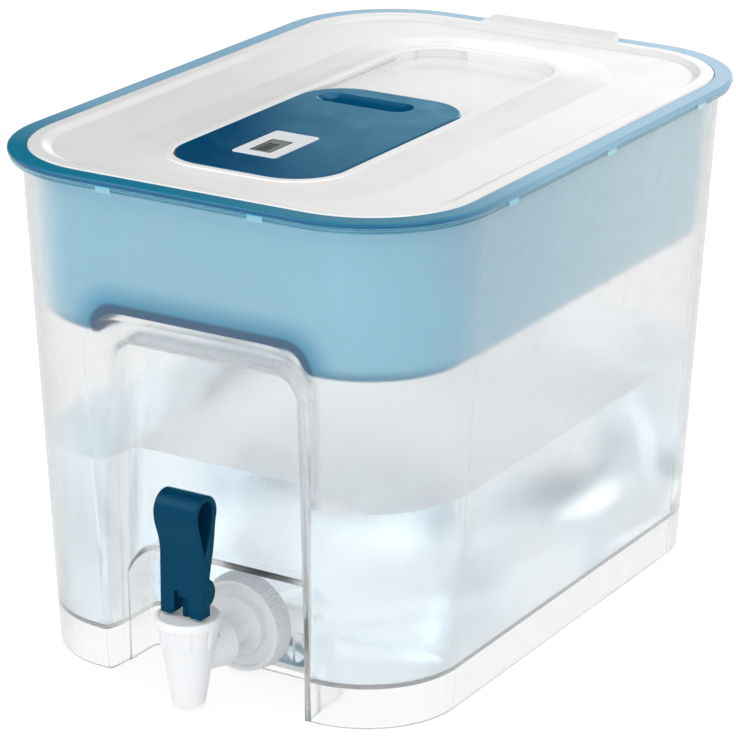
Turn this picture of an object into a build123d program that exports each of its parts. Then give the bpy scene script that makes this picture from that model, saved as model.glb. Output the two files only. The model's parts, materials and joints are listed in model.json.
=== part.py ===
from build123d import *
import os
from math import atan, cos, degrees, pi, radians, sin, sqrt, tan

# Gravity water filter with a tap: a clear tank, a funnel that hangs in it, a lid with a sliding
# refill cover, a filter cartridge, and a self-closing tap in a niche of the tank's front wall.
# Millimetres, +Z up. The front, with the tap, faces -Y, and X is to the right seen from the front.
# Values along Y count from the middle of the tank. Every piece is then moved by frame_shift, which
# puts the origin on the table under the middle of the whole assembly, tap included.

# ---------------------------------------------------------------- driving dimensions: tank
foot_width = 221.0          # outside of the skirt at the table, along X
foot_length = 328.0         # outside of the skirt at the table, along Y
foot_radius = 49.5          # plan corner radius at the table
wall_draft = 3.0            # degrees that every outer wall leans outwards
tank_wall = 2.6             # moulded wall of the tank
floor_top = 23.2            # inside floor above the table
floor_thickness = 2.6
lip_top = 255.6             # where the funnel's flange rests
lip_thickness = 2.4
lip_inset = 1.0             # lip edge inside the flange edge
lip_edge = 0.8              # rounding of the lip

# ---------------------------------------------------------------- driving dimensions: niche
niche_half_bottom = 55.0    # half width at the table
niche_half_top = 52.2       # half width at the ceiling
niche_top = 172.0           # ceiling height behind the mouth
niche_corner = 12.0
mouth_side_top = 11.5       # how far the rounded mouth flares sideways near the ceiling
mouth_side_bottom = 2.0     # the same at the table
mouth_rise = 18.0           # how far the mouth flares upwards
mouth_corner_growth = 10.0
mouth_depth = 12.0          # depth over which the mouth rounds inwards
mouth_overlap = 0.3         # where the mouth's first section lies in front of the wall
mouth_steps = 6
panel_depth = 18.5          # upper back panel behind the front of the foot
panel_edge_radius = 7.0
recess_depth = 39.5         # wall that the tap is clamped to, behind the front of the foot
recess_half_width = 54.0
recess_top = 60.0
recess_corner = 14.0
recess_edge_radius = 7.0
sump_half_width = 34.0      # low pocket of the floor that feeds the tap
sump_length = 44.0
sump_floor = 5.2
sump_radius = 10.0

# ---------------------------------------------------------------- driving dimensions: funnel
flange_side = 5.3           # flange edge beyond the tank's top, along X
flange_end = 6.6            # the same along Y
flange_corner = 2.6         # flange corner radius beyond the tank's top corner radius
flange_thickness = 3.0
flange_edge = 1.2           # rounding of the flange
funnel_wall = 2.4
funnel_inset = 6.5          # funnel wall inside the tank's outer face
funnel_above_niche = 3.0    # funnel bottom above the niche's ceiling
funnel_edge_radius = 8.0
shoulder_height = 7.1       # thick locating band under the flange
shoulder_clearance = 0.5
step_rise = 13.2            # raised step over the niche, above the funnel bottom
step_half_top = 54.0
step_half_bottom = 61.0
step_behind_panel = 9.0
step_corner = 10.0
step_edge_radius = 5.0
hook_width = 8.0            # small hooks of the flange over the tank's lip
hook_drop = 2.6
hook_thickness = 0.6
hook_front_x = 42.0
hook_side_y = 98.0

# ---------------------------------------------------------------- driving dimensions: lid
lid_inset = 9.4             # rebate inside the flange edge
lid_gap = 0.3               # lid edge to the rebate
lid_ledge = 0.6             # rebate floor above the lip
lid_thickness = 2.8         # border of the lid
lid_shell = 2.1             # moulded wall of the lid
lid_edge = 1.0              # rounding of the border
lid_skirt_drop = 8.1        # lid skirt below the lip
lid_skirt_wall = 1.8
lid_skirt_gap = 0.8         # skirt to the funnel wall
valley_drop = 1.7           # soft valley around the plateau
valley_start = 6.5          # border width where the valley begins
valley_width = 5.5
valley_steps = 4
plateau_spread = 30.0       # how far the plateau slopes away around the cover
knee_spread = 13.0          # where the slope changes
knee_drop = 0.9             # plateau below the border there
plateau_drop = 0.3          # plateau below the border at the frame
frame_rise = 0.3            # frame around the cover above the border
frame_width = 4.5
frame_edge = 0.6            # bevel of the frame's inner edge
frame_rounding = 0.8        # rounding of its outer edge
pocket_left = -42.0         # thumb pocket in the recess's rear wall
pocket_right = -17.0
pocket_depth = 2.4
pocket_height = 4.6
tab_half_width = 42.0       # grip tab at the rear edge
tab_slope = 5.0             # length of the tab's sloping ends
tab_rise = 3.0
tab_reach = 7.5
tab_root = 12.0             # where the tab starts to rise, inside the lid's edge
tab_shoulder = 5.5          # where it passes the border's height
tab_edge = 1.1              # thickness of the tab's rear edge

# ---------------------------------------------------------------- driving dimensions: cover
cover_half_width = 44.8
cover_length = 156.0
cover_radius = 26.0
cover_setback = 46.6        # cover front behind the flange's front edge
cover_height = 5.0
cover_wall = 1.8
cover_skin = 2.2
cover_edge = 0.8            # rounding of the top edge
cover_gap = 0.6             # cover edge to the recess wall
cover_travel = 96.0
tray_gap = 0.7              # cover to the floor of the recess
tray_thickness = 2.0
groove_depth = 1.6
groove_rise = 1.6           # guide groove above the floor of the recess
groove_height = 2.0
runner_length = 20.0
runner_gap = 0.4
opening_half_width = 36.0
opening_front_margin = 10.0
opening_length = 82.0
opening_radius = 16.0
scoop_x = -9.0
scoop_behind = 21.1         # scoop in front of the cover's rear edge
scoop_length = 54.0
scoop_width = 17.0
scoop_depth = 2.9
scoop_skin = 1.2

# ---------------------------------------------------------------- driving dimensions: display
case_x = -5.6
case_behind = 46.6          # case centre behind the cover's front edge
case_width = 25.2
case_length = 41.0
case_height = 4.8
case_radius = 2.0
case_rise = 0.4             # case above the cover
case_edge = 0.35            # rounding of the case's top edge
case_wall = 0.9
case_gap = 0.2
window_width = 12.2
window_length = 21.6
window_radius = 1.0
window_offset = -4.0        # window centre in front of the case centre
window_thickness = 1.0
window_drop = 0.1           # window below the case's top
board_thickness = 0.8
board_radius = 1.2
cell_radius = 8.0
cell_thickness = 1.6
cell_offset = -5.0          # coin cell in front of the case centre
button_radius = 4.0
button_offset = 13.5        # button centre behind the case centre
button_travel = 0.4
button_gap = 0.1
button_flange = 0.8         # keeps the button in its case

# ---------------------------------------------------------------- driving dimensions: cartridge
cartridge_y = 62.0
cup_top_radius = 28.5
cup_bottom_radius = 24.0
cup_depth = 58.0
cup_wall = 1.5
cup_flange_radius = 32.0
cup_flange_thickness = 2.2
cup_slots = 8
cup_slot_length = 10.0
cup_slot_width = 2.2
cup_slot_centre = 14.4      # slot centre from the cartridge's axis
collar_height = 6.0         # funnel collar that the cartridge flange rests on
collar_wall = 2.4
well_depth = 16.0
well_gap = 0.4
cap_height = 30.0
cap_inset = 2.0             # cap inside the cup's flange
cap_top_radius = 21.0
cap_wall = 1.5
cap_slots = 10
cap_slot_width = 5.0
cap_slot_height = 12.0
cap_slot_rise = 3.0
screen_thickness = 1.0
screen_gap = 0.05
ring_radius = 11.0          # pull ring on the cap
ring_wire = 2.0

# ---------------------------------------------------------------- driving dimensions: tap
tap_reach = 54.5            # upright axis of the tap in front of the clamped wall
shank_z = 26.0              # height of the shank's axis
spout_bottom = 2.6
spout_radius = 8.3
spout_edge = 0.5            # rounding of the spout's end
spout_lip = 1.2             # wall at the spout's end
spout_flare = 6.0           # height over which the outlet narrows
body_radius = 13.0
body_rise = 7.3             # top of the body above the shank's axis
neck_radius = 11.6
neck_height = 10.2
boss_length = 24.0          # boss end behind the tap's axis
boss_start = 4.0            # boss root behind the tap's axis
boss_radius = 13.9
boss_root_radius = 9.5
boss_edge = 0.8
shank_radius = 8.7
shank_inside = 20.5         # shank end behind the clamped wall
shank_bore = 5.0
hole_gap = 0.3
chamber_radius = 9.4
seat_drop = 13.5            # valve seat below the shank's axis
seat_cone = 2.0
outlet_radius = 5.0
bonnet_height = 14.9
bonnet_bottom_radius = 13.6
bonnet_rim_radius = 16.3
bonnet_rim_step = 0.6       # rim overhang beyond the skirt
bonnet_rim_height = 3.8
bonnet_rim_edge = 1.5       # rounding of the rim's outer edge
bonnet_dish = 0.5
bonnet_flutes = 12
bonnet_flute_radius = 3.0
bonnet_flute_depth = 0.5
thread_gap = 0.05           # neck and nuts on their plain threads
nut_depth = 11.9            # nut front in front of the clamped wall
nut_front_radius = 23.7
nut_rear_radius = 25.6
nut_dish = 4.0
nut_hub_radius = 14.9
nut_hub_rise = 1.4          # hub in front of the nut's rim
nut_hub_edge = 0.6
nut_rim = 1.8
nut_ribs = 72
nut_rib_depth = 0.45
washer_thickness = 2.0
washer_radius = 21.0
inner_washer_radius = 17.0
lock_nut_width = 25.0       # across flats
lock_nut_thickness = 7.0

# ---------------------------------------------------------------- driving dimensions: stem and lever
stem_radius = 2.4
stem_gap = 0.1
stem_head_width = 7.0
stem_head_depth = 8.0
stem_head_height = 9.0
stem_head_rounding = 3.0
stem_collar_width = 2.2     # collar that presses on the seat cup
stem_collar_height = 1.6
stem_plug_depth = 3.0       # stem end inside the seat cup
seat_cup_radius = 7.2
seat_cup_height = 9.0
seat_cup_wall = 1.6
seat_cup_taper = 1.6
seat_cup_lift = 1.0         # edge of the closed cup above the start of the seat's cone
spring_radius = 3.6         # return spring between the stem's collar and the bonnet
spring_wire = 0.5
spring_turns = 6
spring_gap = 0.05
pin_height = 12.3           # lever pin above the bonnet
pin_radius = 1.6
pin_gap = 0.05
pin_length = 20.4
lever_width = 24.4
lever_cam_radius = 7.4
lever_front = -5.8          # front plate in front of the pin axis
lever_rear = 1.6            # rear of the feet behind the pin axis
lever_bottom = -11.3        # foot ends below the pin axis
lever_plate_top = 18.0      # where the front plate starts to bulge
lever_bulge = 2.2
lever_bulge_rise = 12.0     # fullest bulge above its start
lever_waist_y = 5.2         # rear edge between the loop and the neck, behind the pin axis
lever_waist_height = 24.0
lever_hole_bottom = 20.0
lever_hole_tip = -1.0       # lowest point of the hole in front of the loop's centre
lever_hole_front = -3.4     # front edge of the hole where it narrows, from the loop's centre
lever_hole_rear = 3.6       # rear edge of the hole there
lever_hole_waist = 12.0     # where the hole narrows, below the loop's centre
lever_loop_height = 41.6    # loop centre above the pin axis
lever_loop_y = -1.6
lever_loop_radius = 9.4
lever_loop_wall = 3.1
lever_loop_tuck = 0.6       # end of the loop's arc inside its rearmost point
lever_loop_drop = 4.0       # end of the loop's arc below its centre
lever_hole_tuck = 0.4       # the same for the hole
lever_hole_drop = 2.0
lever_neck = 8.5
lever_slot_half = 4.0
lever_slot_top = 1.2
lever_edge = 1.1
foot_chamfer = 1.5          # on the inner corners of the lever's feet
heel_inset = 0.8
head_clearance = 1.0

# ---------------------------------------------------------------- places that follow
big = 600.0                 # size of open-ended cutters
below = 20.0                # how far long cutters run past a face
past = 1.0                  # how far short cutters and joined rods run past a face
cutter_overlap = 0.015      # overlap of two cutters that meet
lean = tan(radians(wall_draft))
rim_width = foot_width + 2 * (lip_top * lean + flange_side)
rim_length = foot_length + 2 * (lip_top * lean + flange_end)
rim_radius = foot_radius + lip_top * lean + flange_corner
rim_top = lip_top + flange_thickness
foot_front = -foot_length / 2
panel_back = foot_front + panel_depth
recess_back = foot_front + recess_depth
funnel_bottom = niche_top + funnel_above_niche
cartridge_seat = funnel_bottom + funnel_wall + collar_height
lid_seat = lip_top + lid_ledge
lid_top = lid_seat + lid_thickness
valley_floor = lid_top - valley_drop
lid_underside = valley_floor - lid_shell
frame_top = lid_top + frame_rise
cover_top = frame_top
cover_bottom = cover_top - cover_height
cover_front = -rim_length / 2 + cover_setback
cover_rear = cover_front + cover_length
tray_floor = cover_bottom - tray_gap
groove_low = tray_floor + groove_rise
groove_high = groove_low + groove_height
case_top = cover_top + case_rise
case_bottom = case_top - case_height
case_y = cover_front + case_behind
board_top = case_bottom + case_wall + board_thickness
tap_y = recess_back - tap_reach
body_top = shank_z + body_rise
neck_top = body_top + neck_height
seat_z = shank_z - seat_drop
boss_end = tap_y + boss_length
bonnet_top = body_top + bonnet_height
nut_front = recess_back - nut_depth
pin_z = bonnet_top + pin_height
seat_cup_top = seat_z + seat_cup_height
frame_shift = (bonnet_rim_radius - tap_y - rim_length / 2) / 2


# ---------------------------------------------------------------- helpers
def rounded(width, length, radius, z, y=0.0, x=0.0):
    """Rounded rectangle in a level plane."""
    return Pos(x, y, z) * RectangleRounded(width, length, radius)


def slab(width, length, radius, z_low, z_high, y=0.0, x=0.0):
    """Rounded rectangular block between two heights."""
    return extrude(rounded(width, length, radius, z_low, y, x), z_high - z_low)


def tank_section(z, inset):
    """Outline of the tank's tapered form at a height, moved inwards."""
    growth = z * lean - inset
    return rounded(foot_width + 2 * growth, foot_length + 2 * growth, foot_radius + growth, z)


def tank_form(z_low, z_high, inset):
    """Tapered block that follows the tank's outer walls."""
    return loft([tank_section(z_low, inset), tank_section(z_high, inset)], ruled=True)


def rod_y(radius, y_low, y_high, z=0.0):
    """Round rod along Y."""
    return Pos(0, (y_low + y_high) / 2, z) * Rot(90, 0, 0) * Cylinder(radius, y_high - y_low)


def rod_z(radius, z_low, z_high, y=0.0, x=0.0):
    """Round rod along Z."""
    return Pos(x, y, (z_low + z_high) / 2) * Cylinder(radius, z_high - z_low)


def cone_z(radius_low, radius_high, z_low, z_high, y=0.0):
    """Cone frustum along Z."""
    return Pos(0, y, (z_low + z_high) / 2) * Cone(radius_low, radius_high, z_high - z_low)


def cone_y(radius_low, radius_high, y_low, y_high, z=0.0):
    """Cone frustum along Y, the low radius at the low Y."""
    middle = (y_low + y_high) / 2
    return Pos(0, middle, z) * Rot(-90, 0, 0) * Cone(radius_low, radius_high, y_high - y_low)


def block(x_low, x_high, y_low, y_high, z_low, z_high):
    """Plain block from its limits."""
    centre = Pos((x_low + x_high) / 2, (y_low + y_high) / 2, (z_low + z_high) / 2)
    return centre * Box(x_high - x_low, y_high - y_low, z_high - z_low)


def upright_plane(y, lean_angle=0.0):
    """Plane that faces +Y at a height of zero, leaning back by an angle, with its own Y upwards."""
    normal = (0, cos(radians(lean_angle)), sin(radians(lean_angle)))
    return Plane(origin=(0, y, 0), x_dir=(-1, 0, 0), z_dir=normal)


def arch(half_bottom, half_top, top, radius):
    """Outline of a niche: straight sides that lean in, and two rounded top corners."""
    low = half_bottom + (half_bottom - half_top) * below / top
    points = [(-low, -below), (low, -below), (half_top, top), (-half_top, top)]
    outline = make_face(Polyline(*points, close=True).edges())
    return fillet(outline.vertices().sort_by(Axis.Y)[-2:], radius)


def back_rounded(solid, radius):
    """Rounds the edges of a block's rearmost face, but not the one under the table."""
    rear_face = solid.faces().sort_by(Axis.Y)[-1]
    return fillet([edge for edge in rear_face.edges() if edge.center().Z > 0], radius)


def top_rounded(solid, radius):
    """Rounds the edges of a block's top face."""
    return fillet(solid.faces().sort_by(Axis.Z)[-1].edges(), radius)


def bottom_rounded(solid, radius):
    """Rounds the edges of a block's bottom face."""
    return fillet(solid.faces().sort_by(Axis.Z)[0].edges(), radius)


def front_rounded(solid, radius):
    """Rounds the edges of a rod's front face."""
    return fillet(solid.faces().sort_by(Axis.Y)[0].edges(), radius)


def save(name, solid):
    """Writes one sub-part, moved into the frame of the whole assembly."""
    export_step(Pos(0, frame_shift, 0) * solid, os.path.join("parts", name + ".step"))


# ---------------------------------------------------------------- tank
def niche_outline(grow, open_share):
    """Outline of the niche, moved outwards by a wall and flared by a share of its mouth."""
    return arch(niche_half_bottom + grow + mouth_side_bottom * open_share,
                niche_half_top + grow + mouth_side_top * open_share,
                niche_top + grow + mouth_rise * open_share,
                niche_corner + grow + mouth_corner_growth * open_share)


def niche_mouth(grow):
    """Rounded mouth of the niche, with the space in front of it."""
    plane = upright_plane(foot_front, wall_draft)
    start = grow - mouth_overlap
    sections = [plane.offset(start) * niche_outline(grow, 1)]
    for step in range(1, mouth_steps + 1):
        turn = radians(90 * step / mouth_steps)
        depth = grow + (mouth_depth - grow) * (1 - cos(turn))
        sections.append(plane.offset(depth) * niche_outline(grow, 1 - sin(turn)))
    return loft(sections) + extrude(plane.offset(-below) * niche_outline(grow, 1), below + start)


def niche_form(grow):
    """Space of the niche: mouth, shallow upper part, and deeper recess around the tap."""
    plane = upright_plane(foot_front, wall_draft)
    core = extrude(plane.offset(mouth_depth) * niche_outline(grow, 0), recess_depth + 2 * below)
    core = core & block(-big, big, -big, panel_back + grow, -big, big)
    core = back_rounded(core, panel_edge_radius + grow)
    recess_outline = arch(recess_half_width + grow, recess_half_width + grow, recess_top + grow,
                          recess_corner + grow)
    recess_start = panel_back - below
    recess_reach = recess_back + grow - recess_start
    recess = extrude(upright_plane(recess_start) * recess_outline, recess_reach)
    recess = back_rounded(recess, recess_edge_radius + grow)
    return core + recess + niche_mouth(grow)


def sump_form(grow, top):
    """Low pocket of the floor behind the tap's wall."""
    front = recess_back + tank_wall - grow
    rear = recess_back + tank_wall + sump_length + grow
    return slab(2 * (sump_half_width + grow), rear - front, sump_radius + grow, sump_floor - grow,
                top, (front + rear) / 2)


def make_tank():
    """Clear tank with lip, floor, foot skirt, niche and tap hole."""
    lip = slab(rim_width - 2 * lip_inset, rim_length - 2 * lip_inset, rim_radius - lip_inset,
               lip_top - lip_thickness, lip_top)
    lip = bottom_rounded(top_rounded(lip, lip_edge), lip_edge)
    tank = tank_form(0, lip_top - lip_thickness / 2, 0) + lip - niche_form(0)
    niche_wall = niche_form(tank_wall)
    cavity = tank_form(floor_top, lip_top + past, tank_wall) - niche_wall
    floor_bottom = floor_top - floor_thickness
    skirt = tank_form(-past, floor_bottom, tank_wall) - niche_wall - sump_form(tank_wall, floor_bottom)
    hole = rod_y(shank_radius + hole_gap, recess_back - past, recess_back + tank_wall + past, shank_z)
    return tank - (cavity + sump_form(0, floor_top)) - skirt - hole


# ---------------------------------------------------------------- funnel
def step_form(grow):
    """Space of the raised step over the niche."""
    half_low = step_half_bottom + grow
    half_high = step_half_top + grow
    top = funnel_bottom + step_rise + grow
    low = funnel_bottom - below
    points = [(-half_low, low), (half_low, low), (half_low, funnel_bottom), (half_high, top),
              (-half_high, top), (-half_low, funnel_bottom)]
    outline = make_face(Polyline(*points, close=True).edges())
    outline = fillet(outline.vertices().sort_by(Axis.Y)[-2:], step_corner + grow)
    front = foot_front - 4 * below
    back = panel_back + step_behind_panel + grow
    form = extrude(upright_plane(front) * outline, back - front)
    return back_rounded(form, step_edge_radius + grow)


def hook(x, y, along_x):
    """Small hook of the flange that reaches over the tank's lip, centred on its outer face."""
    half = hook_width / 2
    reach_x = half if along_x else hook_thickness
    reach_y = hook_thickness if along_x else half
    high = lip_top + flange_edge
    body = block(x - reach_x, x + reach_x, y - reach_y, y + reach_y, lip_top - hook_drop, high)
    return body & slab(rim_width, rim_length, rim_radius, lip_top - hook_drop, high)


def flange_hooks():
    """Hooks on the four sides of the flange."""
    hooks = []
    for side in (-1, 1):
        hooks += [hook(x, side * rim_length / 2, True) for x in (-hook_front_x, hook_front_x)]
        hooks += [hook(side * rim_width / 2, y, False) for y in (-hook_side_y, 0, hook_side_y)]
    return hooks


def cup_radius(z):
    """Outside radius of the cartridge cup at a height, from its taper."""
    share = (cartridge_seat - z) / cup_depth
    return cup_top_radius + (cup_bottom_radius - cup_top_radius) * share


def well_cone(z_low, z_high, grow):
    """Cone around the cartridge cup."""
    return cone_z(cup_radius(z_low) + grow, cup_radius(z_high) + grow, z_low, z_high, cartridge_y)


def make_funnel():
    """Blue funnel with flange, locating shoulder, step over the niche and cartridge well."""
    inner_inset = funnel_inset + funnel_wall
    flange = slab(rim_width, rim_length, rim_radius, lip_top, rim_top)
    flange = bottom_rounded(top_rounded(flange, flange_edge), flange_edge)
    funnel = tank_form(funnel_bottom, rim_top - flange_edge, funnel_inset)
    funnel = bottom_rounded(funnel, funnel_edge_radius)
    funnel += tank_form(lip_top - shoulder_height, lip_top + flange_edge, tank_wall + shoulder_clearance)
    funnel = funnel + flange - step_form(0)
    inside = tank_form(funnel_bottom + funnel_wall, rim_top + past, inner_inset)
    inside = bottom_rounded(inside, funnel_edge_radius - funnel_wall)
    funnel -= inside - step_form(funnel_wall)
    funnel -= slab(rim_width - 2 * lid_inset, rim_length - 2 * lid_inset, rim_radius - lid_inset,
                   lid_seat, rim_top + past)
    for piece in flange_hooks():
        funnel += piece
    well_low = funnel_bottom - well_depth
    funnel += well_cone(well_low, cartridge_seat, well_gap + collar_wall)
    return funnel - well_cone(well_low - past, cartridge_seat + past, well_gap)


# ---------------------------------------------------------------- lid
def lid_outline(inset, z):
    """Outline of the lid moved inwards, at a height."""
    edge = lid_inset + lid_gap + inset
    return rounded(rim_width - 2 * edge, rim_length - 2 * edge, rim_radius - edge, z)


def recess_outline(grow, z):
    """Outline, at a height, of the long recess that the cover slides in, moved outwards."""
    spread = cover_gap + grow
    middle = (cover_rear + cover_travel + cover_front) / 2
    return rounded(2 * (cover_half_width + spread), cover_length + cover_travel + 2 * spread,
                   cover_radius + spread, z, middle)


def plateau_form(lowering):
    """Plateau that slopes away around the recess, lowered from the lid's top side."""
    return loft([recess_outline(plateau_spread, valley_floor - lowering),
                 recess_outline(knee_spread, lid_top - knee_drop - lowering),
                 recess_outline(frame_width, lid_top - plateau_drop - lowering)], ruled=True)


def valley_form():
    """Everything inside the lid's border, down to the valley's floor, with a smoothly falling side."""
    sections = []
    for step in range(valley_steps + 1):
        share = step / valley_steps
        drop = valley_drop * (1 - cos(pi * share)) / 2
        sections.append(lid_outline(valley_start + valley_width * share, lid_top - drop))
    return loft(sections)


def make_tab():
    """Grip tab at the rear: the border swept up and out over the flange, with sloping ends."""
    rear = rim_length / 2 - lid_inset - lid_gap
    root = (rear - tab_root, valley_floor)
    tip = (rear + tab_reach, lid_top + tab_rise)
    under_tip = (rear + tab_reach, lid_top + tab_rise - tab_edge)
    under_edge = (rear, rim_top + lid_gap)
    under_root = (rear - tab_root, lid_underside + lid_shell / 2)
    profile = make_face([
        Spline(root, (rear - tab_shoulder, lid_top + frame_rise), tip, tangents=[(1, 0), (1, 0.2)]),
        Line(tip, under_tip), Line(under_tip, under_edge), Line(under_edge, under_root),
        Line(under_root, root)])
    side = Plane(origin=(-tab_half_width, 0, 0), x_dir=(0, 1, 0), z_dir=(1, 0, 0))
    top_half = tab_half_width - tab_slope
    ends = [(-tab_half_width, lid_underside), (tab_half_width, lid_underside), (tab_half_width, lid_top),
            (top_half, tip[1]), (-top_half, tip[1]), (-tab_half_width, lid_top)]
    front_view = extrude(upright_plane(0) * make_face(Polyline(*ends, close=True).edges()), big)
    return extrude(side * profile, 2 * tab_half_width) & front_view


def frame_form(low):
    """Raised frame around the recess with a rounded outer edge, down to a height."""
    return top_rounded(extrude(recess_outline(frame_width, low), frame_top - low), frame_rounding)


def make_lid():
    """White lid: border, soft valley, raised frame, recess with guide grooves, grip tab."""
    lid = top_rounded(extrude(lid_outline(0, lid_seat), lid_thickness), lid_edge)
    skirt_low = lip_top - lid_skirt_drop
    skirt_inset = funnel_inset + funnel_wall + lid_skirt_gap
    lid += extrude(tank_section(skirt_low, skirt_inset), lid_top - lid_edge - skirt_low)
    lid -= extrude(tank_section(skirt_low, skirt_inset + lid_skirt_wall), lid_underside - skirt_low)
    lid -= valley_form() - plateau_form(0)
    lid -= plateau_form(lid_shell)
    lid += frame_form(tray_floor - tray_thickness)
    lid -= extrude(recess_outline(0, tray_floor), frame_top - tray_floor + past)
    lid -= extrude(recess_outline(pocket_depth, tray_floor), pocket_height) & block(
        pocket_left, pocket_right, cover_rear, big, -big, big)
    lid -= loft([recess_outline(0, frame_top - frame_edge), recess_outline(frame_edge, frame_top)],
                ruled=True)
    groove_half = cover_half_width + cover_gap + groove_depth
    groove_front = cover_front - cover_gap + cover_radius
    groove_rear = cover_rear + cover_travel + cover_gap - cover_radius
    lid -= block(-groove_half, groove_half, groove_front, groove_rear, groove_low, groove_high)
    lid -= slab(2 * opening_half_width, opening_length, opening_radius, lid_underside - below, frame_top,
                cover_front + opening_front_margin + opening_length / 2)
    return lid + make_tab()


# ---------------------------------------------------------------- cover and display
def cover_slab(inset, z_low, z_high):
    """Block of the cover outline between two heights."""
    middle = (cover_rear + cover_front) / 2
    return slab(2 * (cover_half_width - inset), cover_length - 2 * inset, cover_radius - inset,
                z_low, z_high, middle)


def case_slab(inset, z_low, z_high):
    """Block of the display case outline between two heights."""
    return slab(case_width - 2 * inset, case_length - 2 * inset, case_radius - inset, z_low, z_high,
                case_y, case_x)


def scoop_form(grow):
    """Stadium-shaped finger scoop with a round bottom."""
    radius = ((scoop_width / 2) ** 2 + scoop_depth ** 2) / (2 * scoop_depth)
    straight = scoop_length - scoop_width
    centre_z = cover_top - scoop_depth + radius
    y = cover_rear - scoop_behind
    form = Pos(scoop_x, y, centre_z) * Rot(0, 90, 0) * Cylinder(radius + grow, straight)
    for side in (-1, 1):
        form += Pos(scoop_x + side * straight / 2, y, centre_z) * Sphere(radius + grow)
    return form & block(-big, big, -big, big, -big, cover_top)


def cover_runners():
    """Four runners that ride in the guide grooves."""
    reach = cover_half_width + cover_gap + groove_depth - runner_gap
    root = cover_half_width - cover_wall / 2
    front = cover_front + cover_radius + runner_gap
    rear = cover_rear - cover_radius - runner_gap - runner_length
    low = groove_low + runner_gap
    high = groove_high - runner_gap
    limits = [(-reach, -root), (root, reach)]
    return [block(*across, y, y + runner_length, low, high) for y in (front, rear) for across in limits]


def make_slide_cover():
    """Dark blue cover: thin shell with a finger scoop, a pocket for the display, and four runners."""
    cover = top_rounded(cover_slab(0, cover_bottom, cover_top), cover_edge)
    cover -= cover_slab(cover_wall, cover_bottom - past, cover_top - cover_skin)
    cover = cover + scoop_form(scoop_skin) - scoop_form(0)
    cover += case_slab(-case_gap - scoop_skin, cover_bottom, cover_top)
    cover -= case_slab(-case_gap, case_bottom, cover_top + past)
    cover -= case_slab(case_wall, cover_bottom - past, case_bottom)
    for runner in cover_runners():
        cover += runner
    return cover


def make_display_case():
    """Thin case with openings for the window and the button."""
    button_y = case_y + button_offset
    case = top_rounded(case_slab(0, case_bottom, case_top), case_edge)
    case -= case_slab(case_wall, case_bottom + case_wall, case_top - case_wall)
    case -= slab(window_width, window_length, window_radius, case_top - case_wall - past, case_top + past,
                 case_y + window_offset, case_x)
    return case - rod_z(button_radius + button_gap, case_top - case_wall - past, case_top + past,
                        button_y, case_x)


def make_reset_button():
    """Round button with a flange that keeps it in the case."""
    low = board_top + button_travel + button_gap
    button_y = case_y + button_offset
    flange_high = case_top - case_wall - button_gap
    button = rod_z(button_radius, low, case_top, button_y, case_x)
    return button + rod_z(button_radius + button_flange, low, flange_high, button_y, case_x)


def make_display():
    """Display module: case, window, board, coin cell and reset button."""
    window = slab(window_width, window_length, window_radius, case_top - window_thickness,
                  case_top - window_drop, case_y + window_offset, case_x)
    board = slab(case_width - 2 * case_wall, case_length - 2 * case_wall, board_radius,
                 board_top - board_thickness, board_top, case_y, case_x)
    cell = rod_z(cell_radius, board_top, board_top + cell_thickness, case_y + cell_offset, case_x)
    return {"display_case": make_display_case(), "display_window": window, "display_board": board,
            "coin_cell": cell, "reset_button": make_reset_button()}


# ---------------------------------------------------------------- cartridge
def around(index, count, z):
    """Place on the cartridge's axis at a height, turned to one of several equal directions."""
    return Pos(0, cartridge_y, z) * Rot(0, 0, 360 * index / count)


def make_cup():
    """Cup with a flange and a slotted floor."""
    low = cartridge_seat - cup_depth
    flange_top = cartridge_seat + cup_flange_thickness
    inner_top = cup_top_radius - cup_wall
    cup = cone_z(cup_bottom_radius, cup_top_radius, low, cartridge_seat, cartridge_y)
    cup += rod_z(cup_flange_radius, cartridge_seat, flange_top, cartridge_y)
    cup -= cone_z(cup_bottom_radius - cup_wall, inner_top, low + cup_wall, cartridge_seat, cartridge_y)
    cup -= rod_z(inner_top, cartridge_seat - cutter_overlap, flange_top + past, cartridge_y)
    for index in range(cup_slots):
        spot = around(index, cup_slots, low) * Pos(cup_slot_centre, 0, 0)
        cup -= spot * Box(cup_slot_length, cup_slot_width, 3 * cup_wall)
    return cup


def make_cap():
    """Slotted dome with a pull ring."""
    low = cartridge_seat + cup_flange_thickness
    high = low + cap_height
    base_radius = cup_flange_radius - cap_inset
    cap = cone_z(base_radius, cap_top_radius, low, high, cartridge_y)
    cap -= cone_z(base_radius - cap_wall, cap_top_radius - cap_wall, low - cutter_overlap,
                  high - cap_wall, cartridge_y)
    for index in range(cap_slots):
        middle = low + cap_slot_rise + cap_slot_height / 2
        spot = around(index, cap_slots, middle) * Pos(base_radius, 0, 0)
        cap -= spot * Box(base_radius, cap_slot_width, cap_slot_height)
    return cap + Pos(0, cartridge_y, high + ring_wire / 2) * Torus(ring_radius, ring_wire)


def make_cartridge():
    """Filter cartridge that hangs in the funnel's well."""
    low = cartridge_seat - cup_depth + cup_wall
    inner_low = cup_bottom_radius - cup_wall - screen_gap
    inner_high = cup_top_radius - cup_wall - screen_gap
    widening = (inner_high - inner_low) / (cartridge_seat - low) * screen_thickness
    top_screen = rod_z(inner_high - widening, cartridge_seat - screen_thickness, cartridge_seat,
                       cartridge_y)
    bottom_screen = rod_z(inner_low, low, low + screen_thickness, cartridge_y)
    media = cone_z(inner_low + widening, inner_high - widening, low + screen_thickness,
                   cartridge_seat - screen_thickness, cartridge_y)
    return {"cartridge_cup": make_cup(), "cartridge_cap": make_cap(), "cartridge_top_screen": top_screen,
            "cartridge_bottom_screen": bottom_screen, "cartridge_media": media}


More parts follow.
